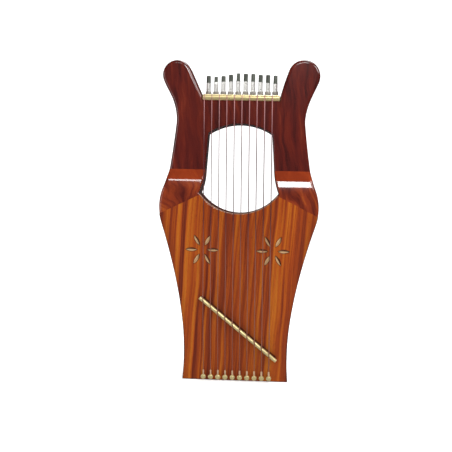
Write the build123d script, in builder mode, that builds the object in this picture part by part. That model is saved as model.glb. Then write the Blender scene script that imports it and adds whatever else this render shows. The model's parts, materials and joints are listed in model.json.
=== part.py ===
"""Ten-string lap lyre (kinnor): a hollow wooden soundbox with a two-armed yoke, brass nut and
slanted bridge, ten wire strings, ten hitch pins and ten turning tuning pins.

Millimetres. +Z is up, the front (string side) faces -Y, left is -X. The origin is the centre of
the soundbox's flat bottom, on which the lyre stands.
"""

import math
import os

from build123d import *

# ---- driving dimensions -------------------------------------------------------------------
BOX_DEPTH = 64.0  # soundbox, front plate to back plate
ARM_DEPTH = 40.0  # arms and crossbar
PLATE = 4.0  # soundboard and back board
WALL = 4.0  # ribs that close the sides of the soundbox
LINING_WIDTH = 6.0
LINING_DEPTH = 8.0
LINING_FOOT = 28.0  # the linings start above the tail block
REACH = 200.0  # half width that takes in every piece
WITHIN_OPENING = 50.0  # a half width well inside the opening
TAIL_HALF = 92.5  # half width of the flat bottom
CROSSBAR_TOP = 497.0
CROSSBAR_HALF = 67.5  # where the crossbar is housed between the arms
ARM_FOOT = 369.0  # where the arms rise out of the shoulders
RIGHT_HORN = (108.2, 533.5, 28.0, 160)  # x, z and radius of the rounded tip, angle where it ends
LEFT_HORN = (112.4, 533.0, 25.5, 155)  # carved by hand, the left horn is the slimmer one
HORN_FLARE = -22.0  # angle where the tip begins
OPENING_TOP = 450.0
OPENING_LEDGE = 433.0  # ends of the arched underside of the crossbar
LEDGE_HALF = 56.0
BOWL_BOTTOM = 293.5  # lowest point of the opening
BOWL_HALF = 69.5
BOWL_CORNER = 329.0
JOINT_INNER = (60.0, 329.0)  # slanted joint between soundboard and shoulder, inner end
JOINT_OUTER = (145.0, 287.0)  # and outer end
TONGUE = 14.0  # the shoulder reaches this far into the soundbox
EDGE_ROUND = 2.0  # front and back edges of the soundbox
ARM_ROUND = 5.5  # outer edges of the arms and shoulders
ARM_INNER_ROUND = 3.0
ROLL_FOOT = 322.0  # the rounded shoulder starts to turn in here
ROLL_TOP = 351.0  # and slopes in towards the arm above this height
ROLL_DEPTH = 3.2
TENON_WIDTH = 30.0
TENON_DEPTH = 18.0
TENON_LENGTH = 30.0
DOWEL_RADIUS = 5.0
DOWEL_HALF = 18.0  # length of a dowel in each piece
DOWEL_Y = 11.0
DOWEL_Z = 465.0
DOWEL_CHAMFER = 1.0
TENON_X = 91.0

STRINGS = 10
PIN_PITCH = 13.1
HITCH_PITCH = 12.7
HITCH_SHIFT = 2.4  # the hitch pins sit a little to the right of the centre line
STRING_THINNEST = 1.30  # diameter of the shortest string, at the left
STRING_THICKEST = 1.70  # diameter of the longest string, at the right
TOUCH = 0.03  # gap left between surfaces that bear on each other
CLEAR = 0.30  # gap between a string and the pin that winds it

PIN_RADIUS = 3.8
PIN_LENGTH = 64.0
PIN_FIT = 0.05  # radial clearance of a pin in its hole
PIN_CHAMFER = 0.7
PIN_HOLE_DEPTH = 30.0
PIN_Y = 1.0
PIN_SQUARE = 5.8  # across the flats at the top of the head
PIN_SQUARE_BASE = 6.6  # and at its foot
PIN_SQUARE_LENGTH = 13.0
PIN_EYE_RADIUS = 1.1  # cross hole that takes the end of the string
PIN_TURNED = (38, 8, 30, 52, 3, 44, 20, 61, 35, 12)  # how far round each head is left
PIN_STANDS = (37.5, 36.0, 37.5, 40.0, 42.5, 42.0, 42.0, 40.5, 40.5, 39.5)  # above the crossbar
COIL_TURNS = 3.0
STRING_LEAVES = 4.5  # the string leaves the pin this far above the crossbar

NUT_RADIUS = 5.0
NUT_HALF = 66.8
ROD_END_ROUND = 1.3  # rounded ends of the nut rod and the bridge rod
NUT_Y = -19.2
NUT_Z = 494.6

BRIDGE_LEFT = (-63.5, 147.0)  # x, z of the rod's ends
BRIDGE_RIGHT = (71.5, 39.5)
BRIDGE_ROD_RADIUS = 3.0
BRIDGE_HEIGHT = 12.4  # top of the rod above the soundboard
BRIDGE_BASE_HEIGHT = 8.6
BRIDGE_FOOT_WIDTH = 9.2
BRIDGE_CROWN_WIDTH = 6.6

HITCH_Z = 7.5
HITCH_SHANK = 1.5
HITCH_HEAD = 4.4
HITCH_HEAD_RISE = 3.2
HITCH_STANDS = 5.0  # underside of the head above the soundboard
HITCH_DRIVEN = 20.0
HITCH_HEAD_ROUND = 2.4
HITCH_POINT = (1.8, 0.7)  # length of the point and how much it narrows
LOOP_STANDS = 3.0  # string loop above the soundboard
TWIST_LENGTH = 9.0  # twisted neck above the loop
TWIST_SPREAD = 1.9  # radius of the neck in radii of the string

ROSETTE_X = 61.6
ROSETTE_Z = 229.5
PETALS = 6
PETAL_INNER = 8.0
PETAL_OUTER = 29.5
PETAL_HALF_WIDTH = 3.7
PETAL_DEPTH = 3.0  # carved as a groove, not through the plate
PETAL_FLOOR = 0.3  # half width at the bottom of the groove

TAIL_BLOCK_HALF = 74.0
TAIL_BLOCK_HEIGHT = 22.0
TAIL_BLOCK_CHAMFER = 3.0
BRACE_DEPTH = 9.0
BRACE_HEIGHT = 7.0
BRACES = (  # name, height, half length, middle depth
    ("soundboard_brace_upper", 268.0, 118.0, -23.5),
    ("soundboard_brace_lower", 188.0, 96.0, -23.5),
    ("back_brace_upper", 268.0, 118.0, 23.5),
    ("back_brace_lower", 120.0, 82.0, 23.5),
)

# ---- values worked out from them ----------------------------------------------------------
FRONT = -BOX_DEPTH / 2
BACK = BOX_DEPTH / 2
INSIDE = BACK - PLATE  # half depth of the hollow
ARM_FRONT = -ARM_DEPTH / 2
HOLLOW = 2 * INSIDE
BOWL_RISE = BOWL_CORNER - BOWL_BOTTOM
BOWL_RADIUS = (BOWL_HALF**2 + BOWL_RISE**2) / (2 * BOWL_RISE)
BOWL_CENTRE = BOWL_BOTTOM + BOWL_RADIUS


def string_radius(i):
    share = i / (STRINGS - 1)
    return (STRING_THINNEST + (STRING_THICKEST - STRING_THINNEST) * share) / 2


def pin_x(i):
    return (i - (STRINGS - 1) / 2) * PIN_PITCH


def hitch_x(i):
    return HITCH_SHIFT + (i - (STRINGS - 1) / 2) * HITCH_PITCH


def string_top_x(i):
    """A string leaves the left side of its pin and runs straight forward over the nut."""
    return pin_x(i) - PIN_RADIUS - CLEAR - string_radius(i)


def joint_z(x):
    """Height of the slanted joint between the soundboard and a shoulder."""
    slope = (JOINT_OUTER[1] - JOINT_INNER[1]) / (JOINT_OUTER[0] - JOINT_INNER[0])
    return JOINT_INNER[1] + slope * (x - JOINT_INNER[0])


os.makedirs("parts", exist_ok=True)
pieces = []


def keep(builder, name):
    """Labels a finished piece and writes it to its own STEP file."""
    builder.part.label = name
    export_step(builder.part, f"parts/{name}.step")
    pieces.append(name)


def board(region, front, thickness):
    """A flat piece of the given front-view shape, starting at y = front."""
    with BuildPart() as piece:
        with BuildSketch(Plane.XZ.offset(-front)):
            add(region.sketch)
        extrude(amount=-thickness)
    return piece


# ---- front-view shapes, drawn with x across and z up ---------------------------------------
foot = Line((0, 0), (TAIL_HALF, 0))
tail = TangentArc(foot @ 1, (95, 110), tangent=(-0.09, 1))
waist = TangentArc(tail @ 1, (112.5, 200), tangent=tail % 1)
flank = TangentArc(waist @ 1, (134.6, 276), tangent=waist % 1)
shoulder_turn = TangentArc(flank @ 1, (133, 336), tangent=flank % 1)
shoulder_slope = TangentArc(shoulder_turn @ 1, (122, 377), tangent=shoulder_turn % 1)
arm_neck = TangentArc(shoulder_slope @ 1, (112.7, 448), tangent=shoulder_slope % 1)
body_side = (foot, tail, waist, flank, shoulder_turn, shoulder_slope)
top = Line((CROSSBAR_HALF, CROSSBAR_TOP), (0, CROSSBAR_TOP))
spine = Line((0, CROSSBAR_TOP), (0, 0))


def horn_edges(x, z, radius, last_angle):
    """Up the outside of a horn, round its tip and down to the crossbar, as on the right arm."""

    def on_tip(angle):
        turn = math.radians(angle)
        return (x + radius * math.cos(turn), z + radius * math.sin(turn))

    leaning = math.radians(-HORN_FLARE)
    outside = Spline(arm_neck @ 1, (121.6, 495), on_tip(HORN_FLARE),
                     tangents=[arm_neck % 1, (math.sin(leaning), math.cos(leaning))])
    tip = ThreePointArc(outside @ 1, on_tip(90), on_tip(last_angle))
    inside = TangentArc(tip @ 1, (CROSSBAR_HALF, CROSSBAR_TOP), tangent=tip % 1)
    return outside, tip, inside


with BuildSketch() as opening:
    with BuildLine():
        ThreePointArc((-LEDGE_HALF, OPENING_LEDGE), (0, OPENING_TOP), (LEDGE_HALF, OPENING_LEDGE))
        arm_side = Line((LEDGE_HALF, OPENING_LEDGE), (60.5, ARM_FOOT))
        shoulder_side = TangentArc(arm_side @ 1, (BOWL_HALF, BOWL_CORNER), tangent=arm_side % 1)
        ThreePointArc((-BOWL_HALF, BOWL_CORNER), (0, BOWL_BOTTOM), (BOWL_HALF, BOWL_CORNER))
        mirror(arm_side, about=Plane.YZ)
        mirror(shoulder_side, about=Plane.YZ)
    make_face()

with BuildSketch() as box:
    with BuildLine():
        add(body_side)
        Line(shoulder_slope @ 1, (0, (shoulder_slope @ 1).Y))
        mirror(about=Plane.YZ)
    make_face()

with BuildSketch() as inside_wall:
    add(box.sketch)
    offset(amount=-WALL, kind=Kind.INTERSECTION)

with BuildSketch() as inside_lining:
    add(box.sketch)
    offset(amount=-WALL - LINING_WIDTH, kind=Kind.INTERSECTION)

below = Polygon((-REACH, -1), (REACH, -1), (REACH, joint_z(REACH)),
                (WITHIN_OPENING, joint_z(WITHIN_OPENING)), (-WITHIN_OPENING, joint_z(WITHIN_OPENING)),
                (-REACH, joint_z(REACH)), align=None)
tongue_end = Pos(0, -TONGUE) * below
bowl_wall = Pos(0, BOWL_CENTRE) * Circle(BOWL_RADIUS + WALL)
right_half = Pos(REACH / 2, ARM_FOOT) * Rectangle(REACH, 4 * REACH)
above_foot = Pos(0, ARM_FOOT + REACH) * Rectangle(2 * REACH, 2 * REACH)
crossbar_place = Pos(0, (CROSSBAR_TOP + OPENING_LEDGE) / 2) * Rectangle(
    2 * CROSSBAR_HALF, CROSSBAR_TOP - OPENING_LEDGE
)
tail_strip = Pos(0, WALL / 2) * Rectangle(2 * (TAIL_HALF - WALL), WALL)
petal_spots = []
for side in (-1, 1):
    petal_spots += [
        Pos(side * ROSETTE_X, ROSETTE_Z) * Rot(0, 0, 360 / PETALS * k) for k in range(PETALS)
    ]


def hitch_spots(offset):
    """Where the hitch pins enter a surface that lies this far in front of the middle plane."""
    plane = Plane.XZ.offset(offset)
    return [plane.location * Pos(hitch_x(i), HITCH_Z) for i in range(STRINGS)]


def petal(inner, outer, half_width):
    """A pointed leaf along +X, starting at x = inner."""
    middle = (inner + outer) / 2
    with BuildSketch(mode=Mode.PRIVATE) as leaf:
        with BuildLine():
            ThreePointArc((inner, 0), (middle, half_width), (outer, 0))
            ThreePointArc((outer, 0), (middle, -half_width), (inner, 0))
        make_face()
    return leaf.sketch


# ---- soundbox ------------------------------------------------------------------------------
with BuildPart() as soundboard:
    with BuildSketch(Plane.XZ.offset(-FRONT)):
        add(box.sketch)
        add(opening.sketch, mode=Mode.SUBTRACT)
        add(below, mode=Mode.INTERSECT)
    extrude(amount=-PLATE)
    rim = soundboard.faces().sort_by(Axis.Y)[0].edges()
    fillet(rim.filter_by(lambda e: e.center().Z < JOINT_OUTER[1] - 6 or abs(e.center().X) < 5),
           radius=EDGE_ROUND)
    for spot in petal_spots:
        with BuildSketch(Plane.XZ.offset(-FRONT)):
            add(spot * petal(PETAL_INNER, PETAL_OUTER, PETAL_HALF_WIDTH))
        with BuildSketch(Plane.XZ.offset(-FRONT - PETAL_DEPTH)):
            add(spot * petal(PETAL_INNER + PETAL_DEPTH, PETAL_OUTER - PETAL_DEPTH, PETAL_FLOOR))
        loft(mode=Mode.SUBTRACT)
    with Locations(*hitch_spots(-FRONT)):
        Hole(radius=HITCH_SHANK + TOUCH, depth=PLATE)
keep(soundboard, "soundboard")

with BuildPart() as back_board:
    with BuildSketch(Plane.XZ.offset(-INSIDE)):
        add(box.sketch)
        add(opening.sketch, mode=Mode.SUBTRACT)
        add(below, mode=Mode.INTERSECT)
    extrude(amount=-PLATE)
    rim = back_board.faces().sort_by(Axis.Y)[-1].edges()
    fillet(rim.filter_by(lambda e: e.center().Z < JOINT_OUTER[1] - 6 or abs(e.center().X) < 5),
           radius=EDGE_ROUND)
keep(back_board, "back_board")

with BuildSketch() as rib_shape:
    add(box.sketch)
    add(inside_wall.sketch, mode=Mode.SUBTRACT)
    add(below, mode=Mode.INTERSECT)
    add(tail_strip, mode=Mode.SUBTRACT)
    add(right_half, mode=Mode.INTERSECT)
right_rib = board(rib_shape, -INSIDE, HOLLOW)
keep(right_rib, "right_rib")
with BuildPart() as left_rib:
    add(mirror(right_rib.part, about=Plane.YZ))
keep(left_rib, "left_rib")

with BuildPart() as tail_rib:
    with Locations((0, 0, WALL / 2)):
        Box(2 * (TAIL_HALF - WALL), HOLLOW, WALL)
keep(tail_rib, "tail_rib")

with BuildSketch() as bowl_rib_shape:
    with Locations((0, BOWL_CENTRE)):
        Circle(BOWL_RADIUS + WALL)
        Circle(BOWL_RADIUS, mode=Mode.SUBTRACT)
    add(below, mode=Mode.INTERSECT)
bowl_rib = board(bowl_rib_shape, -INSIDE, HOLLOW)
keep(bowl_rib, "bowl_rib")

with BuildSketch() as lining_shape:
    add(inside_wall.sketch)
    add(inside_lining.sketch, mode=Mode.SUBTRACT)
    add(tongue_end, mode=Mode.INTERSECT)
    add(bowl_wall, mode=Mode.SUBTRACT)
    add(right_half, mode=Mode.INTERSECT)
    with Locations((TAIL_HALF, LINING_FOOT / 2)):
        Rectangle(2 * TAIL_HALF, LINING_FOOT, mode=Mode.SUBTRACT)
for name, front in (("front", -INSIDE), ("back", INSIDE - LINING_DEPTH)):
    right_lining = board(lining_shape, front, LINING_DEPTH)
    keep(right_lining, f"{name}_lining_right")
    with BuildPart() as left_lining:
        add(mirror(right_lining.part, about=Plane.YZ))
    keep(left_lining, f"{name}_lining_left")

with BuildPart() as tail_block:
    with Locations((0, 0, WALL + TAIL_BLOCK_HEIGHT / 2)):
        Box(2 * TAIL_BLOCK_HALF, HOLLOW, TAIL_BLOCK_HEIGHT)
    with Locations(*hitch_spots(INSIDE)):
        Hole(radius=HITCH_SHANK + TOUCH, depth=HITCH_DRIVEN - PLATE + 1)
    chamfer(tail_block.edges().filter_by(Axis.Y).group_by(Axis.Z)[-1], TAIL_BLOCK_CHAMFER)
keep(tail_block, "tail_block")

for name, height, half, y in BRACES:
    with BuildPart() as brace:
        with BuildSketch(Plane.XY.offset(height)):
            with Locations((0, y)):
                Rectangle(2 * half, BRACE_DEPTH)
        extrude(amount=BRACE_HEIGHT / 2, both=True)
    keep(brace, name)

# ---- yoke: shoulders, arms, crossbar --------------------------------------------------------
# Side view of the shoulders: full depth below, rolling in to the depth of the arms.
with BuildPart() as shoulder_roll:
    with BuildSketch(Plane.YZ):
        with BuildLine():
            base = Line((0, JOINT_OUTER[1] - REACH / 4), (BACK, JOINT_OUTER[1] - REACH / 4))
            wall = Line(base @ 1, (BACK, ROLL_FOOT))
            roll = TangentArc(wall @ 1, (BACK - ROLL_DEPTH, ROLL_TOP), tangent=(0, 1))
            lip = Spline(roll @ 1, (-ARM_FRONT, ARM_FOOT), tangents=[roll % 1, (-0.35, 1)])
            Line(lip @ 1, (0, ARM_FOOT))
            mirror(about=Plane.YZ)
        make_face()
    extrude(amount=REACH)

with BuildSketch() as shoulder_shape:
    add(box.sketch)
    add(opening.sketch, mode=Mode.SUBTRACT)
    add(below, mode=Mode.SUBTRACT)
    add(above_foot, mode=Mode.SUBTRACT)
    add(right_half, mode=Mode.INTERSECT)

with BuildSketch() as tongue_shape:
    add(inside_wall.sketch)
    add(below, mode=Mode.INTERSECT)
    add(tongue_end, mode=Mode.SUBTRACT)
    add(bowl_wall, mode=Mode.SUBTRACT)
    add(right_half, mode=Mode.INTERSECT)

with BuildPart() as right_shoulder:
    with BuildSketch(Plane.XZ.offset(BACK + 1)):
        add(shoulder_shape.sketch)
    extrude(amount=-BOX_DEPTH - 2)
    add(shoulder_roll.part, mode=Mode.INTERSECT)
    rims = right_shoulder.edges().filter_by(lambda e: abs(e.center().Y) > 20)
    fillet(rims.filter_by(lambda e: e.center().X > 125 and e.center().Z > JOINT_OUTER[1] + 5),
           radius=ARM_ROUND)
    rims = right_shoulder.edges().filter_by(lambda e: abs(e.center().Y) > 20)
    fillet(rims.filter_by(lambda e: e.center().X < 69 and e.center().Z > BOWL_CORNER - 5),
           radius=ARM_INNER_ROUND)
    with BuildSketch(Plane.XZ.offset(INSIDE)):
        add(tongue_shape.sketch)
    extrude(amount=-HOLLOW)
    with Locations((TENON_X, 0, ARM_FOOT - TENON_LENGTH / 2)):
        Box(TENON_WIDTH, TENON_DEPTH, TENON_LENGTH + 1, mode=Mode.SUBTRACT)
keep(right_shoulder, "right_shoulder")
with BuildPart() as left_shoulder:
    add(mirror(right_shoulder.part, about=Plane.YZ))
keep(left_shoulder, "left_shoulder")

dowel_spots = [(side * CROSSBAR_HALF, y, DOWEL_Z) for side in (-1, 1) for y in (-DOWEL_Y, DOWEL_Y)]


def carve_arm(horn):
    """One arm as it is on the right: outline, rounded edges, tenon below, dowel holes inside."""
    with BuildSketch(mode=Mode.PRIVATE) as shape:
        with BuildLine():
            add(body_side)
            add((arm_neck, *horn_edges(*horn), top, spine))
        make_face()
        add(opening.sketch, mode=Mode.SUBTRACT)
        add(above_foot, mode=Mode.INTERSECT)
        add(crossbar_place, mode=Mode.SUBTRACT)
    with BuildPart() as arm:
        with BuildSketch(Plane.XZ.offset(-ARM_FRONT)):
            add(shape.sketch)
        extrude(amount=-ARM_DEPTH)
        rims = arm.edges().filter_by(lambda e: abs(e.center().Y) > -ARM_FRONT - 1)
        outer_rims = rims.filter_by(
            lambda e: e.center().Z > CROSSBAR_TOP
            or (e.center().X > 100 and e.center().Z > ARM_FOOT + 1)
        )
        fillet(outer_rims, radius=ARM_ROUND)
        rims = arm.edges().filter_by(lambda e: abs(e.center().Y) > -ARM_FRONT - 1)
        inner_rims = rims.filter_by(
            lambda e: e.center().X < 60 and ARM_FOOT + 5 < e.center().Z < OPENING_LEDGE - 5
        )
        fillet(inner_rims, radius=ARM_INNER_ROUND)
        with Locations((TENON_X, 0, ARM_FOOT - TENON_LENGTH / 2)):
            Box(TENON_WIDTH, TENON_DEPTH, TENON_LENGTH)
        with Locations(*dowel_spots):
            Cylinder(DOWEL_RADIUS, 2 * DOWEL_HALF + 1, rotation=(0, 90, 0), mode=Mode.SUBTRACT)
    return arm


right_arm = carve_arm(RIGHT_HORN)
keep(right_arm, "right_arm")
left_arm_pattern = carve_arm(LEFT_HORN)
with BuildPart() as left_arm:
    add(mirror(left_arm_pattern.part, about=Plane.YZ))
keep(left_arm, "left_arm")

with BuildSketch() as crossbar_shape:
    add(crossbar_place)
    add(opening.sketch, mode=Mode.SUBTRACT)

with BuildPart() as crossbar:
    with BuildSketch(Plane.XZ.offset(-ARM_FRONT)):
        add(crossbar_shape.sketch)
    extrude(amount=-ARM_DEPTH)
    fillet(crossbar.edges().group_by(Axis.Z)[-1].sort_by(Axis.Y)[-1], radius=ARM_INNER_ROUND)
    arches = crossbar.edges().filter_by(GeomType.CIRCLE).filter_by(lambda e: e.length > 50)
    fillet(arches, radius=EDGE_ROUND)
    with Locations((0, NUT_Y, NUT_Z)):
        Cylinder(NUT_RADIUS + TOUCH, 2 * CROSSBAR_HALF + 2, rotation=(0, 90, 0), mode=Mode.SUBTRACT)
    with Locations(*dowel_spots):
        Cylinder(DOWEL_RADIUS, 2 * DOWEL_HALF + 1, rotation=(0, 90, 0), mode=Mode.SUBTRACT)
    with Locations(*[(pin_x(i), PIN_Y, CROSSBAR_TOP) for i in range(STRINGS)]):
        Hole(radius=PIN_RADIUS + PIN_FIT, depth=PIN_HOLE_DEPTH)
keep(crossbar, "crossbar")

with BuildPart() as crossbar_dowels:
    with Locations(*dowel_spots):
        Cylinder(DOWEL_RADIUS - TOUCH, 2 * DOWEL_HALF, rotation=(0, 90, 0))
    chamfer(crossbar_dowels.edges().filter_by(GeomType.CIRCLE), DOWEL_CHAMFER)
keep(crossbar_dowels, "crossbar_dowels")

# ---- brass nut, bridge, hitch pins ----------------------------------------------------------
with BuildPart() as nut_rod:
    with Locations((0, NUT_Y, NUT_Z)):
        Cylinder(NUT_RADIUS, 2 * NUT_HALF, rotation=(0, 90, 0))
    fillet(nut_rod.edges().filter_by(GeomType.CIRCLE), radius=ROD_END_ROUND)
keep(nut_rod, "nut_rod")

bridge_run = (BRIDGE_RIGHT[0] - BRIDGE_LEFT[0], BRIDGE_RIGHT[1] - BRIDGE_LEFT[1])
bridge_length = math.hypot(*bridge_run)
bridge_middle = ((BRIDGE_LEFT[0] + BRIDGE_RIGHT[0]) / 2, (BRIDGE_LEFT[1] + BRIDGE_RIGHT[1]) / 2)
bridge_plane = Plane(
    origin=(bridge_middle[0], FRONT, bridge_middle[1]),
    x_dir=(bridge_run[0], 0, bridge_run[1]),
    z_dir=(0, -1, 0),
)
rod_height = BRIDGE_HEIGHT - BRIDGE_ROD_RADIUS
with BuildPart(bridge_plane) as bridge_base:
    with BuildSketch(bridge_plane):
        SlotOverall(bridge_length, BRIDGE_FOOT_WIDTH)
    with BuildSketch(bridge_plane.offset(BRIDGE_BASE_HEIGHT)):
        SlotOverall(bridge_length - 1, BRIDGE_CROWN_WIDTH)
    loft()
    with Locations((0, 0, rod_height)):
        Cylinder(BRIDGE_ROD_RADIUS + TOUCH, bridge_length + 4, rotation=(0, 90, 0), mode=Mode.SUBTRACT)
keep(bridge_base, "bridge_base")

with BuildPart(bridge_plane) as bridge_rod:
    with Locations((0, 0, rod_height)):
        Cylinder(BRIDGE_ROD_RADIUS, bridge_length, rotation=(0, 90, 0))
    fillet(bridge_rod.edges().filter_by(GeomType.CIRCLE), radius=ROD_END_ROUND)
keep(bridge_rod, "bridge_rod")

with BuildPart() as hitch_pin:
    with Locations((0, 0, HITCH_STANDS)):
        Cylinder(HITCH_HEAD, HITCH_HEAD_RISE, align=(Align.CENTER, Align.CENTER, Align.MIN))
    fillet(hitch_pin.edges().sort_by(Axis.Z)[-1], radius=HITCH_HEAD_ROUND)
    fillet(hitch_pin.edges().sort_by(Axis.Z)[0], radius=0.4)
    with Locations((0, 0, HITCH_STANDS)):
        Cylinder(HITCH_SHANK, HITCH_STANDS + HITCH_DRIVEN, align=(Align.CENTER, Align.CENTER, Align.MAX))
    chamfer(hitch_pin.edges().sort_by(Axis.Z)[0], length=HITCH_POINT[0], length2=HITCH_POINT[1])

with BuildPart() as hitch_pins:
    with Locations(*[(hitch_x(i), FRONT, HITCH_Z) for i in range(STRINGS)]):
        add(hitch_pin.part, rotation=(90, 0, 0))
keep(hitch_pins, "hitch_pins")

# ---- tuning pins, their coils, and the strings ----------------------------------------------
head_foot = PIN_LENGTH - PIN_SQUARE_LENGTH
with BuildPart() as squaring:
    with BuildSketch(Plane.XY.offset(head_foot)):
        Rectangle(PIN_SQUARE_BASE, PIN_SQUARE_BASE)
    with BuildSketch(Plane.XY.offset(PIN_LENGTH)):
        Rectangle(PIN_SQUARE, PIN_SQUARE)
    loft()
    with Locations((0, 0, head_foot / 2)):
        Box(4 * PIN_RADIUS, 4 * PIN_RADIUS, head_foot)

with BuildPart() as pin_pattern:
    with Locations((0, 0, PIN_LENGTH / 2)):
        Cylinder(PIN_RADIUS, PIN_LENGTH)
    chamfer(pin_pattern.edges().filter_by(GeomType.CIRCLE), PIN_CHAMFER)
    add(squaring.part, mode=Mode.INTERSECT)

for i in range(STRINGS):
    wire = string_radius(i)
    pin_foot = CROSSBAR_TOP + PIN_STANDS[i] - PIN_LENGTH
    coil_foot = CROSSBAR_TOP + STRING_LEAVES + 2 * wire + CLEAR
    coil_pitch = 2 * wire + TOUCH
    coil_height = COIL_TURNS * coil_pitch
    coil_radius = PIN_RADIUS + TOUCH + wire
    with BuildPart() as tuning_pin:
        with Locations((pin_x(i), PIN_Y, pin_foot)):
            add(pin_pattern.part, rotation=(0, 0, PIN_TURNED[i]))
        with Locations((pin_x(i), PIN_Y, coil_foot + coil_height + 3 * wire)):
            Cylinder(PIN_EYE_RADIUS, 3 * PIN_RADIUS, rotation=(90, 0, 0), mode=Mode.SUBTRACT)
    keep(tuning_pin, f"tuning_pin_{i + 1}")

    with BuildPart() as string_coil:
        coil_plane = Plane(origin=(pin_x(i), PIN_Y, coil_foot), x_dir=(-1, 0, 0), z_dir=(0, 0, 1))
        with BuildLine(coil_plane) as turns:
            Helix(coil_pitch, coil_height, coil_radius, lefthand=True)
        with BuildSketch(Plane(origin=turns.line @ 0, z_dir=turns.line % 0)):
            Circle(wire)
        sweep(is_frenet=True)
    keep(string_coil, f"string_coil_{i + 1}")

    # the string: from the pin, over the nut, down across the bridge, to a loop round its hitch pin
    start = (string_top_x(i), PIN_Y, CROSSBAR_TOP + STRING_LEAVES)
    bend = NUT_RADIUS + TOUCH + wire
    ring = HITCH_SHANK + TOUCH + wire
    loop_top = (hitch_x(i), FRONT - LOOP_STANDS, HITCH_Z + ring)
    run = (loop_top[0] - start[0]) / (loop_top[2] - NUT_Z)
    bridge_slope = bridge_run[1] / bridge_run[0]
    at_left_end = BRIDGE_LEFT[1] - bridge_slope * (BRIDGE_LEFT[0] - start[0])
    crossing_z = (at_left_end - bridge_slope * run * NUT_Z) / (1 - bridge_slope * run)
    crossing = (
        start[0] + run * (crossing_z - NUT_Z),
        FRONT - BRIDGE_HEIGHT - wire - 4 * TOUCH,
        crossing_z,
    )
    behind = (start[1] - NUT_Y, start[2] - NUT_Z)
    below_nut = (crossing[1] - NUT_Y, crossing[2] - NUT_Z)
    leaves_top = math.atan2(behind[1], behind[0]) + math.acos(bend / math.hypot(*behind))
    leaves_front = (
        math.atan2(below_nut[1], below_nut[0]) - math.acos(bend / math.hypot(*below_nut)) + 2 * math.pi
    )
    corner_angle = (leaves_top + leaves_front) / 2
    corner_reach = bend / math.cos((leaves_front - leaves_top) / 2)
    corner = (
        start[0],
        NUT_Y + corner_reach * math.cos(corner_angle),
        NUT_Z + corner_reach * math.sin(corner_angle),
    )
    with BuildPart() as string:
        with BuildLine() as path:
            FilletPolyline(start, corner, crossing, loop_top, radius=bend)
        with BuildSketch(Plane(origin=path.line @ 0, z_dir=path.line % 0)):
            Circle(wire)
        sweep()
        rising = path.line % 1
        with Locations(Plane(origin=path.line @ 1, z_dir=-rising)):
            Cylinder(TWIST_SPREAD * wire, TWIST_LENGTH, align=(Align.CENTER, Align.CENTER, Align.MIN))
        with Locations(Plane(origin=(hitch_x(i), FRONT - LOOP_STANDS, HITCH_Z), z_dir=(0, -1, 0))):
            Torus(ring, wire)
    keep(string, f"string_{i + 1}")
    print(f"string {i + 1}: speaking length {math.dist(corner, crossing):.0f} mm")

print(len(pieces), "pieces written")
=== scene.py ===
# %% [markdown]
# # A ten-string lap lyre
# A lyre of this kind is a shallow wooden box with two arms that grow out of its shoulders and
# hold a crossbar. Ten wires run from pins at the bottom edge, over a slanted bridge and a brass
# rod on the crossbar, to pins that tune them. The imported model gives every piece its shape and
# place, so most of this lesson is about finishes: striped wood under lacquer, brass, steel and
# wound wire.

import json
import math

import bmesh
import bpy
from mathutils import Matrix, Vector


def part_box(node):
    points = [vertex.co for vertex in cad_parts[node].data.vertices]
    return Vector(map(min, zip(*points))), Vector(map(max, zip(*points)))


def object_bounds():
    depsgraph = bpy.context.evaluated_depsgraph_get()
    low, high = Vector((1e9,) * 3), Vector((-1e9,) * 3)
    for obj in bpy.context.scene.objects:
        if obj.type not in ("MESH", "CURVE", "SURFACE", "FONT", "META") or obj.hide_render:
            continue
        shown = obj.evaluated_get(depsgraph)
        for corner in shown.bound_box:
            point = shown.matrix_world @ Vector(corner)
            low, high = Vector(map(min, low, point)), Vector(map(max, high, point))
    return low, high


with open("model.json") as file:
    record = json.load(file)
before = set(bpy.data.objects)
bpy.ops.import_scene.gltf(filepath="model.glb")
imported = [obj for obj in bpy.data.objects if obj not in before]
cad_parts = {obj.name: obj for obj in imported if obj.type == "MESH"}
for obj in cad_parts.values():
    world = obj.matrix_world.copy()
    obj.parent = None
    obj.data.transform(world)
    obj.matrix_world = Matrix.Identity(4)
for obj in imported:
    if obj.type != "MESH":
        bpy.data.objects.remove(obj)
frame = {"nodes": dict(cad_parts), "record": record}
nodes = frame["nodes"]
record = frame["record"]
model_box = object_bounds()
print("pieces in the model:", len(nodes))
print("model box:", model_box)

# %% [markdown]
# ## Shared measurements
# The finishes need to know where a few things are. The outer faces of whole pieces are asked from
# the model. Places inside a piece, such as the middle of a rosette, don't show in its box, so they
# are written here and have to be changed with the model. Everything is in metres.

# %% Measure the model
soundboard_low, soundboard_high = (Vector(corner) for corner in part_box("soundboard"))
front_y = soundboard_low.y
crossbar_high = Vector(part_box("crossbar")[1])
string_count = sum(name.startswith("tuning_pin_") for name in nodes)
rosette_x = 0.0616
rosette_z = 0.2295
rosette_reach = 0.031
petal_rim = 0.0009
groove_start = 0.00006
edge_round = 0.0007
board_margin = 0.0005
foot_half_width = 0.0925
outline_spread = 0.55
opening_edge = 0.0705
bowl_bottom = 0.290
slope_foot = 0.351
twist_top = 0.0195
string_shade_middle = 0.36
coil_gap = 0.0015
head_rise = 0.0285
head_arch = 0.0045
print("soundboard front at y =", round(front_y, 4), "with", string_count, "strings")

# %% [markdown]
# ## Small helpers for shader nodes
# A material in Blender is a graph of nodes. These helpers add a node, set its plain values and
# join it to others in one line, so that each finish below reads as a short recipe.


# %% Node helpers
def add_node(tree, kind, values=None, **settings):
    """Adds a node, sets its properties, then its unlinked inputs by name or number."""
    node = tree.nodes.new(kind)
    for key, value in settings.items():
        setattr(node, key, value)
    for key, value in (values or {}).items():
        node.inputs[key].default_value = value
    return node


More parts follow.
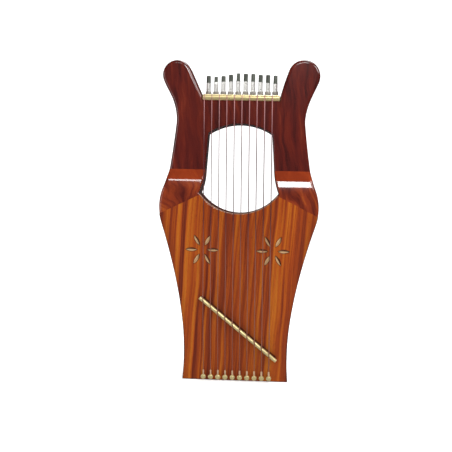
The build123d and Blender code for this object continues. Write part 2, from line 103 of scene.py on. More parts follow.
def join(tree, source, target):
    tree.links.new(source, target)


def math_node(tree, operation, first, second=None, third=None, clamp=False):
    """A Math node whose inputs may be sockets or plain numbers; returns its output."""
    node = add_node(tree, "ShaderNodeMath", operation=operation, use_clamp=clamp)
    for socket, value in zip(node.inputs, (first, second, third)):
        if value is None:
            continue
        if isinstance(value, (int, float)):
            socket.default_value = value
        else:
            join(tree, value, socket)
    return node.outputs[0]


def ramp_node(tree, factor, stops, interpolation="EASE"):
    """A colour ramp given as (position, (r, g, b)) stops; returns its colour output."""
    node = add_node(tree, "ShaderNodeValToRGB")
    node.color_ramp.interpolation = interpolation
    elements = node.color_ramp.elements
    while len(elements) < len(stops):
        elements.new(0.5)
    for element, (position, colour) in zip(elements, stops):
        element.position = position
        element.color = (*colour, 1.0)
    join(tree, factor, node.inputs["Fac"])
    return node.outputs["Color"]


def mix_colour(tree, factor, first, second, blend_type="MIX"):
    """Mixes two colours given as sockets or (r, g, b); returns the mixed colour."""
    node = add_node(tree, "ShaderNodeMix", data_type="RGBA", blend_type=blend_type)
    sockets = (node.inputs[0], node.inputs[6], node.inputs[7])
    for socket, value in zip(sockets, (factor, first, second)):
        if isinstance(value, (int, float)):
            socket.default_value = value
        elif isinstance(value, tuple):
            socket.default_value = (*value, 1.0)
        else:
            join(tree, value, socket)
    return node.outputs[2]


def new_group(name, inputs, outputs):
    """A shader node group with named sockets; returns the tree and its two end nodes."""
    tree = bpy.data.node_groups.new(name, "ShaderNodeTree")
    for label, kind, value in inputs:
        socket = tree.interface.new_socket(label, in_out="INPUT", socket_type=kind)
        if value is not None:
            socket.default_value = value
    for label, kind in outputs:
        tree.interface.new_socket(label, in_out="OUTPUT", socket_type=kind)
    return tree, tree.nodes.new("NodeGroupInput"), tree.nodes.new("NodeGroupOutput")


def place_group(tree, group, values=None):
    node = add_node(tree, "ShaderNodeGroup", node_tree=group)
    for key, value in (values or {}).items():
        node.inputs[key].default_value = value
    return node


def place_parts(tree):
    """Splits a point's place in the model into its X, Y and Z outputs; returns the node."""
    place = add_node(tree, "ShaderNodeTexCoord")
    parts = add_node(tree, "ShaderNodeSeparateXYZ")
    join(tree, place.outputs["Object"], parts.inputs[0])
    return parts


def new_finish(name):
    """A material with one Principled shader; returns the material, its tree and the shader."""
    finish = bpy.data.materials.new(name)
    finish.use_nodes = True
    tree = finish.node_tree
    return finish, tree, tree.nodes["Principled BSDF"]


print("node helpers ready")

# %% [markdown]
# ## Wood grain
# A board shows three things at once: broad stripes of early and late growth, fine streaks inside
# them, and short dark pores. All run along the board. The group stretches noise along the grain
# by squeezing the coordinate in that direction. A slow noise bends it and a quicker one swirls it.
# Stripes, streaks and pores come out as masks, so that each wood picks its own colours.

# %% Group: wood grain
wood_grain, grain_in, grain_out = new_group(
    "wood_grain",
    [
        ("Position", "NodeSocketVector", None),
        ("Lean", "NodeSocketFloat", 0.0),
        ("Stripes", "NodeSocketFloat", 60.0),
        ("Stretch", "NodeSocketFloat", 0.05),
        ("Wander", "NodeSocketFloat", 0.006),
        ("Swirl", "NodeSocketFloat", 0.0),
    ],
    [
        ("Stripe", "NodeSocketFloat"),
        ("Streak", "NodeSocketFloat"),
        ("Pore", "NodeSocketFloat"),
        ("Height", "NodeSocketFloat"),
    ],
)
depth_squeeze = 0.35
streaks_per_stripe = 7.0
pore_scale = 1700.0
pore_squeeze = 0.09
pore_threshold = 0.62
pore_contrast = 7.0
spread = add_node(wood_grain, "ShaderNodeSeparateXYZ")
join(wood_grain, grain_in.outputs["Position"], spread.inputs[0])
slow = add_node(wood_grain, "ShaderNodeTexNoise", {"Scale": 9.0, "Detail": 1.0, "Roughness": 0.4})
join(wood_grain, grain_in.outputs["Position"], slow.inputs["Vector"])
slow_centred = math_node(wood_grain, "SUBTRACT", slow.outputs["Fac"], 0.5)
bend = math_node(wood_grain, "MULTIPLY", slow_centred, grain_in.outputs["Wander"])
lean = grain_in.outputs["Lean"]
leaned = math_node(wood_grain, "MULTIPLY_ADD", spread.outputs["Z"], lean, spread.outputs["X"])
across = math_node(wood_grain, "ADD", leaned, bend)
knot = add_node(wood_grain, "ShaderNodeTexNoise", {"Scale": 22.0, "Detail": 1.0, "Roughness": 0.5})
join(wood_grain, grain_in.outputs["Position"], knot.inputs["Vector"])
knot_centred = math_node(wood_grain, "SUBTRACT", knot.outputs["Fac"], 0.5)
across = math_node(wood_grain, "MULTIPLY_ADD", knot_centred, grain_in.outputs["Swirl"], across)
along = math_node(wood_grain, "MULTIPLY", spread.outputs["Z"], grain_in.outputs["Stretch"])
deep = math_node(wood_grain, "MULTIPLY", spread.outputs["Y"], depth_squeeze)
grain_place = add_node(wood_grain, "ShaderNodeCombineXYZ")
join(wood_grain, across, grain_place.inputs["X"])
join(wood_grain, deep, grain_place.inputs["Y"])
join(wood_grain, along, grain_place.inputs["Z"])
stripe_look = {"Detail": 2.0, "Roughness": 0.55, "Distortion": 0.3}
stripe_noise = add_node(wood_grain, "ShaderNodeTexNoise", stripe_look)
join(wood_grain, grain_place.outputs[0], stripe_noise.inputs["Vector"])
join(wood_grain, grain_in.outputs["Stripes"], stripe_noise.inputs["Scale"])
streak_noise = add_node(wood_grain, "ShaderNodeTexNoise", {"Detail": 3.0, "Roughness": 0.6})
stripes = grain_in.outputs["Stripes"]
streak_scale = math_node(wood_grain, "MULTIPLY", stripes, streaks_per_stripe)
join(wood_grain, grain_place.outputs[0], streak_noise.inputs["Vector"])
join(wood_grain, streak_scale, streak_noise.inputs["Scale"])
pore_place = add_node(wood_grain, "ShaderNodeCombineXYZ")
join(wood_grain, across, pore_place.inputs["X"])
join(wood_grain, spread.outputs["Y"], pore_place.inputs["Y"])
pore_along = math_node(wood_grain, "MULTIPLY", spread.outputs["Z"], pore_squeeze)
join(wood_grain, pore_along, pore_place.inputs["Z"])
pore_look = {"Scale": pore_scale, "Detail": 1.0, "Roughness": 0.5}
pore_noise = add_node(wood_grain, "ShaderNodeTexNoise", pore_look)
join(wood_grain, pore_place.outputs[0], pore_noise.inputs["Vector"])
pore = math_node(wood_grain, "SUBTRACT", pore_noise.outputs["Fac"], pore_threshold, clamp=True)
pore = math_node(wood_grain, "MULTIPLY", pore, pore_contrast, clamp=True)
join(wood_grain, stripe_noise.outputs["Fac"], grain_out.inputs["Stripe"])
join(wood_grain, streak_noise.outputs["Fac"], grain_out.inputs["Streak"])
join(wood_grain, pore, grain_out.inputs["Pore"])
streak_height = math_node(wood_grain, "MULTIPLY", streak_noise.outputs["Fac"], 0.5)
height = math_node(wood_grain, "SUBTRACT", streak_height, pore)
join(wood_grain, height, grain_out.inputs["Height"])
print("wood grain group:", len(wood_grain.nodes), "nodes")

# %% [markdown]
# ## Lacquer that has been handled
# Gloss lacquer is never perfectly even. It holds a faint ripple called orange peel, and hands
# leave slightly duller patches. The group gives a roughness that varies a little and a very low
# height for the ripple, which the lacquered finishes share.

# %% Group: lacquer surface
lacquer_surface, lacquer_in, lacquer_out = new_group(
    "lacquer_surface",
    [
        ("Position", "NodeSocketVector", None),
        ("Gloss", "NodeSocketFloat", 0.12),
        ("Wear", "NodeSocketFloat", 0.08),
    ],
    [("Roughness", "NodeSocketFloat"), ("Height", "NodeSocketFloat")],
)
patch_look = {"Scale": 28.0, "Detail": 3.0, "Roughness": 0.6}
patches = add_node(lacquer_surface, "ShaderNodeTexNoise", patch_look)
join(lacquer_surface, lacquer_in.outputs["Position"], patches.inputs["Vector"])
duller = math_node(lacquer_surface, "MULTIPLY", patches.outputs["Fac"], lacquer_in.outputs["Wear"])
lacquer_rough = math_node(lacquer_surface, "ADD", duller, lacquer_in.outputs["Gloss"])
join(lacquer_surface, lacquer_rough, lacquer_out.inputs["Roughness"])
ripple_look = {"Scale": 130.0, "Detail": 1.0, "Roughness": 0.4}
ripple = add_node(lacquer_surface, "ShaderNodeTexNoise", ripple_look)
join(lacquer_surface, lacquer_in.outputs["Position"], ripple.inputs["Vector"])
join(lacquer_surface, ripple.outputs["Fac"], lacquer_out.inputs["Height"])
print("lacquer group ready")


# %% [markdown]
# ## One recipe for every lacquered wood
# The boards differ only in colour and in how busy their grain is, so one function makes them
# all: stripes choose between the colours, streaks darken and lighten them, pores are dark, and a
# clear coat lies on top.


# %% Lacquered wood
pore_darkness = 0.45


def lacquered_wood(name, colours, stripes, stretch, lean, wander, swirl, streak_depth, seed, turn=0.0):
    """A lacquered wood without its base colour joined; returns that colour for further mixing."""
    finish, tree, shader = new_finish(name)
    place = add_node(tree, "ShaderNodeTexCoord")
    shift = add_node(tree, "ShaderNodeMapping", {"Location": seed, "Rotation": (0.0, 0.0, turn)})
    join(tree, place.outputs["Object"], shift.inputs["Vector"])
    grain = place_group(
        tree,
        wood_grain,
        {"Lean": lean, "Stripes": stripes, "Stretch": stretch, "Wander": wander, "Swirl": swirl},
    )
    join(tree, shift.outputs[0], grain.inputs["Position"])
    colour = ramp_node(tree, grain.outputs["Stripe"], colours)
    streak = grain.outputs["Streak"]
    shade = math_node(tree, "MULTIPLY_ADD", streak, 2 * streak_depth, 1.0 - streak_depth)
    shade_colour = add_node(tree, "ShaderNodeCombineColor")
    for socket in shade_colour.inputs[:3]:
        join(tree, shade, socket)
    colour = mix_colour(tree, 1.0, colour, shade_colour.outputs[0], "MULTIPLY")
    pore_strength = math_node(tree, "MULTIPLY", grain.outputs["Pore"], pore_darkness)
    colour = mix_colour(tree, pore_strength, colour, (0.012, 0.005, 0.004))
    surface = place_group(tree, lacquer_surface, {"Gloss": 0.16, "Wear": 0.10})
    join(tree, place.outputs["Object"], surface.inputs["Position"])
    join(tree, surface.outputs["Roughness"], shader.inputs["Roughness"])
    bump_fine = add_node(tree, "ShaderNodeBump", {"Strength": 0.12, "Distance": 0.00006})
    join(tree, grain.outputs["Height"], bump_fine.inputs["Height"])
    bump_peel = add_node(tree, "ShaderNodeBump", {"Strength": 0.10, "Distance": 0.00005})
    join(tree, surface.outputs["Height"], bump_peel.inputs["Height"])
    join(tree, bump_fine.outputs[0], bump_peel.inputs["Normal"])
    join(tree, bump_peel.outputs[0], shader.inputs["Normal"])
    shader.inputs["Specular IOR Level"].default_value = 0.08
    shader.inputs["Coat Weight"].default_value = 1.0
    shader.inputs["Coat Roughness"].default_value = 0.05
    shader.inputs["Coat IOR"].default_value = 1.5
    return finish, tree, shader, colour


print("lacquered wood recipe ready")

# %% [markdown]
# ## The soundboard and its raw petals
# The front has orange and red-brown stripes that lean a few degrees. The petals of the two
# rosettes are grooves that show pale bare wood. The finish finds them as points behind the front
# face and close to a rosette's middle, and it finds the board's rounded edges in the same way.
#
# Some light and shadow is painted on here instead of being left to the lamps. The rims of the
# petals and the groove walls that face down and left are dark. So is the board towards its left
# and right outlines. The edge of the opening is pale.

# %% Soundboard finish
stripe_colours = [
    (0.33, (0.095, 0.014, 0.006)),
    (0.42, (0.145, 0.024, 0.007)),
    (0.49, (0.200, 0.033, 0.006)),
    (0.56, (0.260, 0.053, 0.006)),
    (0.68, (0.310, 0.083, 0.008)),
]
outline_shadow = (0.085, 0.014, 0.006)
edge_shadow = (0.035, 0.009, 0.006)
opening_lip_highlight = (0.33, 0.20, 0.14)
petal_rim_shadow = (0.045, 0.010, 0.006)
petal_wall_shadow = (0.075, 0.025, 0.012)
bare_stops = [(0.3, (0.36, 0.21, 0.10)), (0.7, (0.52, 0.34, 0.18))]
outline_fade = 5.0
outline_start = 4.2
outline_depth = 0.6
wall_contrast = 1.5
striped, striped_tree, striped_shader, striped_colour = lacquered_wood(
    "striped_lacquered_wood",
    stripe_colours,
    stripes=135.0,
    stretch=0.016,
    lean=-0.05,
    wander=0.009,
    swirl=0.0,
    streak_depth=0.38,
    seed=(0.31, 0.0, 0.2),
)


def front_masks(tree):
    """Masks for the petals, their rims, the soundboard's outer edge and the edge of the opening."""
    parts = place_parts(tree)
    from_middle = math_node(tree, "ABSOLUTE", parts.outputs["X"])
    aside = math_node(tree, "SUBTRACT", from_middle, rosette_x)
    above = math_node(tree, "SUBTRACT", parts.outputs["Z"], rosette_z)
    square = math_node(tree, "MULTIPLY", above, above)
    span = math_node(tree, "MULTIPLY_ADD", aside, aside, square)
    near = math_node(tree, "LESS_THAN", span, rosette_reach**2)
    behind = math_node(tree, "GREATER_THAN", parts.outputs["Y"], front_y + groove_start)
    deep = math_node(tree, "GREATER_THAN", parts.outputs["Y"], front_y + petal_rim)
    board_back = soundboard_high.y + board_margin
    on_front = math_node(tree, "LESS_THAN", parts.outputs["Y"], board_back)
    near = math_node(tree, "MULTIPLY", near, on_front)
    petals = math_node(tree, "MULTIPLY", near, behind)
    bare = math_node(tree, "MULTIPLY", near, deep)
    rounded = math_node(tree, "SUBTRACT", parts.outputs["Y"], front_y)
    rounded = math_node(tree, "MULTIPLY", rounded, 1.0 / edge_round, clamp=True)
    rounded = math_node(tree, "MULTIPLY", rounded, on_front)
    edge = math_node(tree, "MULTIPLY", rounded, math_node(tree, "SUBTRACT", 1.0, near))
    high = math_node(tree, "GREATER_THAN", parts.outputs["Z"], bowl_bottom)
    inner = math_node(tree, "LESS_THAN", from_middle, opening_edge)
    lip = math_node(tree, "MULTIPLY", edge, math_node(tree, "MULTIPLY", high, inner))
    return petals, bare, edge, lip, parts


petals, bare, edge, lip, board_parts = front_masks(striped_tree)
from_middle = math_node(striped_tree, "ABSOLUTE", board_parts.outputs["X"])
rise = math_node(striped_tree, "MULTIPLY", board_parts.outputs["Z"], board_parts.outputs["Z"])
half_width = math_node(striped_tree, "MULTIPLY_ADD", rise, outline_spread, foot_half_width)
nearness = math_node(striped_tree, "DIVIDE", from_middle, half_width)
shaded = math_node(striped_tree, "MULTIPLY_ADD", nearness, outline_fade, -outline_start, clamp=True)
shaded = math_node(striped_tree, "MULTIPLY", shaded, outline_depth)
striped_colour = mix_colour(striped_tree, shaded, striped_colour, outline_shadow)
striped_colour = mix_colour(striped_tree, edge, striped_colour, edge_shadow)
# Painted highlight: the rounded edge of the opening is painted pale.
striped_colour = mix_colour(striped_tree, lip, striped_colour, opening_lip_highlight)
striped_colour = mix_colour(striped_tree, petals, striped_colour, petal_rim_shadow)
fibres = add_node(striped_tree, "ShaderNodeTexNoise", {"Scale": 900.0, "Detail": 2.0})
bare_colour = ramp_node(striped_tree, fibres.outputs["Fac"], bare_stops)
facing = add_node(striped_tree, "ShaderNodeTexCoord")
slant = add_node(striped_tree, "ShaderNodeSeparateXYZ")
join(striped_tree, facing.outputs["Normal"], slant.inputs[0])
up_right = math_node(striped_tree, "ADD", slant.outputs["X"], slant.outputs["Z"])
down_left = math_node(striped_tree, "MULTIPLY", up_right, -wall_contrast, clamp=True)
bare_colour = mix_colour(striped_tree, down_left, bare_colour, petal_wall_shadow)
striped_colour = mix_colour(striped_tree, bare, striped_colour, bare_colour)
join(striped_tree, striped_colour, striped_shader.inputs["Base Color"])
uncoated = math_node(striped_tree, "MAXIMUM", petals, lip)
coat = math_node(striped_tree, "SUBTRACT", 1.0, uncoated)
join(striped_tree, coat, striped_shader.inputs["Coat Weight"])
print("soundboard finish:", len(striped_tree.nodes), "nodes")

# %% [markdown]
# ## Dark wood of the yoke, ribs and bridge
# Arms and crossbar are a dark red wood with a quieter grain, and the shoulders are a redder one
# that swirls. Above the foot of their slope the shoulders are painted more orange, in one flat
# band: painted light, where the slope faces up. The ribs are a little lighter than the arms, and
# the foot of the bridge is nearly black.

# %% Dark finishes
yoke_colours = [
    (0.32, (0.040, 0.006, 0.005)),
    (0.47, (0.062, 0.008, 0.006)),
    (0.58, (0.080, 0.010, 0.006)),
    (0.72, (0.110, 0.016, 0.008)),
]
yoke, yoke_tree, yoke_shader, yoke_colour = lacquered_wood(
    "dark_lacquered_wood",
    yoke_colours,
    stripes=110.0,
    stretch=0.10,
    lean=0.10,
    wander=0.02,
    swirl=0.010,
    streak_depth=0.25,
    seed=(1.7, 0.3, 0.0),
)
join(yoke_tree, yoke_colour, yoke_shader.inputs["Base Color"])
shoulder_colours = [
    (0.30, (0.055, 0.007, 0.005)),
    (0.46, (0.100, 0.014, 0.006)),
    (0.58, (0.155, 0.023, 0.007)),
    (0.72, (0.220, 0.042, 0.008)),
]
slope_painted_light = (0.25, 0.032, 0.006)
slope_light_amount = 0.55
shoulder, shoulder_tree, shoulder_shader, shoulder_colour = lacquered_wood(
    "shoulder_lacquered_wood",
    shoulder_colours,
    stripes=75.0,
    stretch=0.22,
    lean=0.30,
    wander=0.05,
    swirl=0.05,
    streak_depth=0.4,
    seed=(0.9, 0.6, 0.4),
)
shoulder_parts = place_parts(shoulder_tree)
# Painted light: the upward slope of the shoulders is painted more orange above its foot.
slope_light_mask = math_node(shoulder_tree, "GREATER_THAN", shoulder_parts.outputs["Z"], slope_foot)
slope_light_mask = math_node(shoulder_tree, "MULTIPLY", slope_light_mask, slope_light_amount)
shoulder_colour = mix_colour(shoulder_tree, slope_light_mask, shoulder_colour, slope_painted_light)
join(shoulder_tree, shoulder_colour, shoulder_shader.inputs["Base Color"])
rib_colours = [
    (0.32, (0.050, 0.008, 0.006)),
    (0.50, (0.115, 0.018, 0.007)),
    (0.66, (0.200, 0.040, 0.009)),
]
rib, rib_tree, rib_shader, rib_colour = lacquered_wood(
    "lacquered_rib_wood",
    rib_colours,
    stripes=110.0,
    stretch=0.03,
    lean=0.0,
    wander=0.01,
    swirl=0.002,
    streak_depth=0.40,
    seed=(0.4, 2.2, 0.0),
    turn=math.radians(90),
)
join(rib_tree, rib_colour, rib_shader.inputs["Base Color"])
rib_shader.inputs["Coat Weight"].default_value = 0.3
bridge_colours = [(0.35, (0.010, 0.005, 0.004)), (0.65, (0.045, 0.018, 0.010))]
bridge, bridge_tree, bridge_shader, bridge_colour = lacquered_wood(
    "bridge_wood",
    bridge_colours,
    stripes=180.0,
    stretch=0.5,
    lean=0.0,
    wander=0.01,
    swirl=0.0,
    streak_depth=0.3,
    seed=(0.0, 0.9, 0.1),
)
join(bridge_tree, bridge_colour, bridge_shader.inputs["Base Color"])
print("dark wood finishes ready")

# %% [markdown]
# ## Bare wood inside
# Linings, braces and blocks are inside the closed box. They get plain pale wood with soft grain
# and no lacquer.

# %% Bare wood
raw, raw_tree, raw_shader = new_finish("raw_wood")
raw_place = add_node(raw_tree, "ShaderNodeTexCoord")
raw_look = {"Stripes": 90.0, "Stretch": 0.08, "Wander": 0.02, "Lean": 0.0}
raw_grain = place_group(raw_tree, wood_grain, raw_look)
join(raw_tree, raw_place.outputs["Object"], raw_grain.inputs["Position"])
raw_stops = [(0.3, (0.50, 0.32, 0.17)), (0.7, (0.68, 0.49, 0.29))]
raw_colour = ramp_node(raw_tree, raw_grain.outputs["Stripe"], raw_stops)
join(raw_tree, raw_colour, raw_shader.inputs["Base Color"])
raw_bump = add_node(raw_tree, "ShaderNodeBump", {"Strength": 0.3, "Distance": 0.0001})
join(raw_tree, raw_grain.outputs["Height"], raw_bump.inputs["Height"])
join(raw_tree, raw_bump.outputs[0], raw_shader.inputs["Normal"])
raw_shader.inputs["Roughness"].default_value = 0.75
print("bare wood ready")

# %% [markdown]
# ## Polished metal that is not quite clean
# Brass and steel reflect what is around them, so what makes them look real is how the reflection
# breaks up: fine scratches, and a thin darker film that lies in patches.

# %% Group: metal film
metal_film, film_in, film_out = new_group(
    "metal_film",
    [
        ("Position", "NodeSocketVector", None),
        ("Polish", "NodeSocketFloat", 0.15),
        ("Film", "NodeSocketFloat", 0.2),
    ],
    [
        ("Tarnish", "NodeSocketFloat"),
        ("Roughness", "NodeSocketFloat"),
        ("Height", "NodeSocketFloat"),
    ],
)
film_dulling = 0.14
film_look = {"Scale": 220.0, "Detail": 4.0, "Roughness": 0.65}
film_noise = add_node(metal_film, "ShaderNodeTexNoise", film_look)
join(metal_film, film_in.outputs["Position"], film_noise.inputs["Vector"])
tarnish = math_node(metal_film, "MULTIPLY", film_noise.outputs["Fac"], film_in.outputs["Film"])
join(metal_film, tarnish, film_out.inputs["Tarnish"])
polish = film_in.outputs["Polish"]
dulled = math_node(metal_film, "MULTIPLY_ADD", film_noise.outputs["Fac"], film_dulling, polish)
join(metal_film, dulled, film_out.inputs["Roughness"])
scratch = add_node(metal_film, "ShaderNodeTexNoise", {"Scale": 2600.0, "Detail": 1.0})
join(metal_film, film_in.outputs["Position"], scratch.inputs["Vector"])
join(metal_film, scratch.outputs["Fac"], film_out.inputs["Height"])
print("metal film group ready")

# %% [markdown]
# ## Brass, steel and wire
# One function makes all three metals. Brass and steel also get fine scratches, and the wire gets
# the ridges of its winding. The square heads of the steel pins look darker than their shafts. Here
# that is painted shade: the heads are painted dark and made duller above a line that follows the
# gentle arch of the heads.
#
# The strings are painted dark around the middle, where they are plucked, as painted shade, and
# paler towards both ends, as painted highlight. That stands in for the way light falls along them,
# and isn't a property of the wire. The coils on the pins and the twisted necks at the bottom are
# paler still.


# %% Metals
def polished_metal(name, bright, dull, polish, film, metallic):
    """A metal whose colour, roughness and bump aren't joined yet; returns its colour and film."""
    finish, tree, shader = new_finish(name)
    place = add_node(tree, "ShaderNodeTexCoord")
    surface = place_group(tree, metal_film, {"Polish": polish, "Film": film})
    join(tree, place.outputs["Object"], surface.inputs["Position"])
    colour = mix_colour(tree, surface.outputs["Tarnish"], bright, dull)
    shader.inputs["Metallic"].default_value = metallic
    return finish, tree, shader, colour, surface


def add_scratches(tree, film, shader):
    """Lays the film's fine scratches over a metal as a very low bump."""
    bump = add_node(tree, "ShaderNodeBump", {"Strength": 0.15, "Distance": 0.00002})
    join(tree, film.outputs["Height"], bump.inputs["Height"])
    join(tree, bump.outputs[0], shader.inputs["Normal"])


brass, brass_tree, brass_shader, brass_colour, brass_film = polished_metal(
    "polished_brass",
    bright=(0.74, 0.63, 0.32),
    dull=(0.50, 0.38, 0.14),
    polish=0.22,
    film=0.5,
    metallic=0.6,
)
join(brass_tree, brass_colour, brass_shader.inputs["Base Color"])
join(brass_tree, brass_film.outputs["Roughness"], brass_shader.inputs["Roughness"])
add_scratches(brass_tree, brass_film, brass_shader)

head_painted_shade = (0.13, 0.14, 0.12)
head_dulling = 0.35
steel, steel_tree, steel_shader, steel_colour, steel_film = polished_metal(
    "tuning_pin_steel",
    bright=(0.82, 0.81, 0.78),
    dull=(0.46, 0.45, 0.43),
    polish=0.22,
    film=0.4,
    metallic=0.75,
)
steel_parts = place_parts(steel_tree)
aside = math_node(steel_tree, "DIVIDE", steel_parts.outputs["X"], crossbar_high.x)
aside_squared = math_node(steel_tree, "MULTIPLY", aside, aside)
arch = math_node(steel_tree, "MULTIPLY", aside_squared, head_arch)
head_foot = math_node(steel_tree, "SUBTRACT", crossbar_high.z + head_rise, arch)
on_head = math_node(steel_tree, "GREATER_THAN", steel_parts.outputs["Z"], head_foot)
# Painted shade: the heads of the pins are painted dark above their arched line.
steel_colour = mix_colour(steel_tree, on_head, steel_colour, head_painted_shade)
join(steel_tree, steel_colour, steel_shader.inputs["Base Color"])
duller_head = math_node(steel_tree, "MULTIPLY", on_head, head_dulling)
steel_roughness = math_node(steel_tree, "ADD", steel_film.outputs["Roughness"], duller_head)
join(steel_tree, steel_roughness, steel_shader.inputs["Roughness"])
add_scratches(steel_tree, steel_film, steel_shader)

upper_wire_highlight = (0.42, 0.20, 0.20)
lower_wire_highlight = (0.24, 0.085, 0.06)
coiled_wire = (0.45, 0.42, 0.38)
twisted_wire = (0.62, 0.45, 0.30)
change_per_metre = 14.0
upper_delay = 0.7
lower_delay = 1.0
wire, wire_tree, wire_shader, wire_colour, wire_film = polished_metal(
    "string_wire",
    bright=(0.085, 0.016, 0.022),
    dull=(0.05, 0.010, 0.014),
    polish=0.34,
    film=0.6,
    metallic=0.4,
)
join(wire_tree, wire_film.outputs["Roughness"], wire_shader.inputs["Roughness"])
winding_place = add_node(wire_tree, "ShaderNodeTexCoord")
winding = add_node(wire_tree, "ShaderNodeTexWave", {"Scale": 900.0}, bands_direction="Z")
join(wire_tree, winding_place.outputs["Object"], winding.inputs["Vector"])
winding_bump = add_node(wire_tree, "ShaderNodeBump", {"Strength": 0.4, "Distance": 0.00008})
join(wire_tree, winding.outputs["Fac"], winding_bump.inputs["Height"])
join(wire_tree, winding_bump.outputs[0], wire_shader.inputs["Normal"])
wire_height = place_parts(wire_tree).outputs["Z"]
# Painted shade around the middle of each string, painted highlight towards both ends.
above_string_shade_middle = math_node(wire_tree, "SUBTRACT", wire_height, string_shade_middle)
upper = math_node(wire_tree, "MULTIPLY_ADD", above_string_shade_middle, change_per_metre, -upper_delay, clamp=True)
wire_colour = mix_colour(wire_tree, upper, wire_colour, upper_wire_highlight)
lower = math_node(wire_tree, "MULTIPLY_ADD", above_string_shade_middle, -change_per_metre, -lower_delay, clamp=True)
wire_colour = mix_colour(wire_tree, lower, wire_colour, lower_wire_highlight)
on_pin = math_node(wire_tree, "GREATER_THAN", wire_height, crossbar_high.z + coil_gap)
wire_colour = mix_colour(wire_tree, on_pin, wire_colour, coiled_wire)
at_loop = math_node(wire_tree, "LESS_THAN", wire_height, twist_top)
wire_colour = mix_colour(wire_tree, at_loop, wire_colour, twisted_wire)
join(wire_tree, wire_colour, wire_shader.inputs["Base Color"])
print("metal finishes ready")

# %% [markdown]
# ## Give every piece its finish
# The record says which finish each piece of the model has. One dictionary joins those names to
# the materials made above.

# %% Assign finishes
finishes = {
    "striped_lacquered_wood": striped,
    "dark_lacquered_wood": yoke,
    "shoulder_lacquered_wood": shoulder,
    "lacquered_rib_wood": rib,
    "bridge_wood": bridge,
    "raw_wood": raw,
    "polished_brass": brass,
    "tuning_pin_steel": steel,
    "string_wire": wire,
}
for entry in record["subparts"]:
    piece = nodes[entry["node"]]
    piece.data.materials.clear()
    piece.data.materials.append(finishes[entry["material_slot"]])
    for face in piece.data.polygons:
        face.material_index = 0
print("finished pieces:", len(record["subparts"]))

# %% [markdown]
# ## Floor
# The lyre stands on a pale studio floor that curves up into a pale wall, so that no horizon shows.
# Reflections leave the floor out and show the dark surroundings instead.

# %% Floor
floor_front = -3.0
floor_back = 2.0
floor_half_width = 5.0
wall_height = 5.0
curve_radius = 1.5
curve_steps = 12
paper_glow = 0.4
floor_shape = bmesh.new()
profile = [(floor_front, 0.0), (floor_back, 0.0)]
for step in range(1, curve_steps + 1):
    angle = math.radians(90 * step / curve_steps)
    curve_y = floor_back + curve_radius * math.sin(angle)
    curve_z = curve_radius - curve_radius * math.cos(angle)
    profile.append((curve_y, curve_z))
profile.append((floor_back + curve_radius, wall_height))
sides = (-floor_half_width, floor_half_width)
rows = [[floor_shape.verts.new((x, y, z)) for x in sides] for y, z in profile]
for low, high in zip(rows, rows[1:]):
    floor_shape.faces.new((low[0], low[1], high[1], high[0]))
floor_mesh = bpy.data.meshes.new("studio_floor")
floor_shape.to_mesh(floor_mesh)
floor_shape.free()
floor = bpy.data.objects.new("studio_floor", floor_mesh)
bpy.context.scene.collection.objects.link(floor)
floor.location.z = model_box[0][2]
for face in floor_mesh.polygons:
    face.use_smooth = True
paper, paper_tree, paper_shader = new_finish("studio_paper")
paper_place = add_node(paper_tree, "ShaderNodeTexCoord")
paper_noise = add_node(paper_tree, "ShaderNodeTexNoise", {"Scale": 3.0, "Detail": 2.0})
join(paper_tree, paper_place.outputs["Object"], paper_noise.inputs["Vector"])
paper_stops = [(0.0, (0.90, 0.90, 0.90)), (1.0, (0.92, 0.92, 0.92))]
paper_colour = ramp_node(paper_tree, paper_noise.outputs["Fac"], paper_stops)
join(paper_tree, paper_colour, paper_shader.inputs["Base Color"])
paper_shader.inputs["Roughness"].default_value = 0.9
paper_shader.inputs["Emission Color"].default_value = (1.0, 1.0, 1.0, 1.0)
paper_shader.inputs["Emission Strength"].default_value = paper_glow
floor_mesh.materials.append(paper)
floor.visible_glossy = False
print("floor at z =", round(floor.location.z, 4))

# %% [markdown]
# ## Light
# A distant soft lamp stands just high enough to show in the rolled right shoulder but not in the
# flat horns, and a thin strip does the same for the left shoulder. Lamps at the sides and above
# shape the arms. The surroundings are pale for soft light but nearly black in reflections, so that
# the lacquer keeps its depth.


# %% Lamps
def lamp(name, place, aim, size, power):
    """A white rectangular lamp that points at a place; size is its width and height."""
    data = bpy.data.lights.new(name, "AREA")
    data.shape = "RECTANGLE"
    data.size, data.size_y = size
    data.energy = power
    holder = bpy.data.objects.new(name, data)
    holder.location = place
    direction = Vector(aim) - Vector(place)
    holder.rotation_euler = direction.to_track_quat("-Z", "Y").to_euler()
    bpy.context.scene.collection.objects.link(holder)


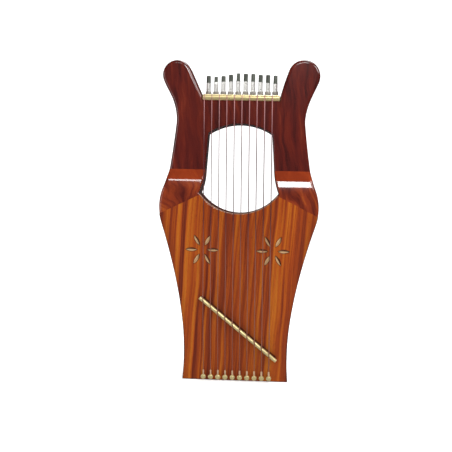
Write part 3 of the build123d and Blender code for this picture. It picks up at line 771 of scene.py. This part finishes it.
middle = Vector((0.0, 0.0, 0.28))
lamp("key_lamp", place=(0.32, -6.0, 2.62), aim=middle, size=(0.95, 0.9), power=80.0)
lamp("strip_lamp", place=(-0.85, -6.0, 3.05), aim=middle, size=(0.8, 0.2), power=8.0)
lamp("side_lamp", place=(1.3, -1.3, 1.5), aim=middle, size=(0.7, 0.7), power=20.0)
lamp("fill_lamp", place=(-1.9, -1.3, 0.6), aim=middle, size=(0.7, 1.2), power=10.0)
lamp("top_lamp", place=(0.3, 0.25, 1.9), aim=middle, size=(1.4, 0.5), power=18.0)
soft_light = 0.75
mirrored_light = 0.04
backdrop_boost = 0.35
world = bpy.data.worlds.new("studio_world")
bpy.context.scene.world = world
world.use_nodes = True
sky = world.node_tree
sky_light = sky.nodes["Background"]
sky_light.inputs["Color"].default_value = (1.0, 1.0, 1.0, 1.0)
ray = add_node(sky, "ShaderNodeLightPath")
dimming = mirrored_light - soft_light
strength = math_node(sky, "MULTIPLY_ADD", ray.outputs["Is Glossy Ray"], dimming, soft_light)
strength = math_node(sky, "MULTIPLY_ADD", ray.outputs["Is Camera Ray"], backdrop_boost, strength)
join(sky, strength, sky_light.inputs["Strength"])
bpy.context.scene.view_settings.view_transform = "Standard"
print("lamps:", [item.name for item in bpy.data.lights])

# %% [markdown]
# ## Camera
# The camera looks at the lyre almost straight on, from a little to the right and a little above,
# and it is rolled slightly.

# %% Camera
camera_distance = 1.1
camera_azimuth = math.radians(2.4)
camera_height = math.radians(3.0)
camera_roll = math.radians(1.3)
camera_data = bpy.data.cameras.new("camera")
camera_data.lens = 49.1
camera_data.sensor_width = 36.0
camera_data.shift_x = -0.0285
camera_data.shift_y = -0.0120
camera = bpy.data.objects.new("camera", camera_data)
bpy.context.scene.collection.objects.link(camera)
away = Vector(
    (
        math.sin(camera_azimuth) * math.cos(camera_height),
        -math.cos(camera_azimuth) * math.cos(camera_height),
        math.sin(camera_height),
    )
)
camera.location = middle + camera_distance * away
level = (-away).to_track_quat("-Z", "Y").to_matrix().to_4x4()
camera.matrix_world = Matrix.Translation(camera.location) @ level @ Matrix.Rotation(camera_roll, 4, "Z")
bpy.context.scene.camera = camera
print("camera at", [round(value, 3) for value in camera.location])
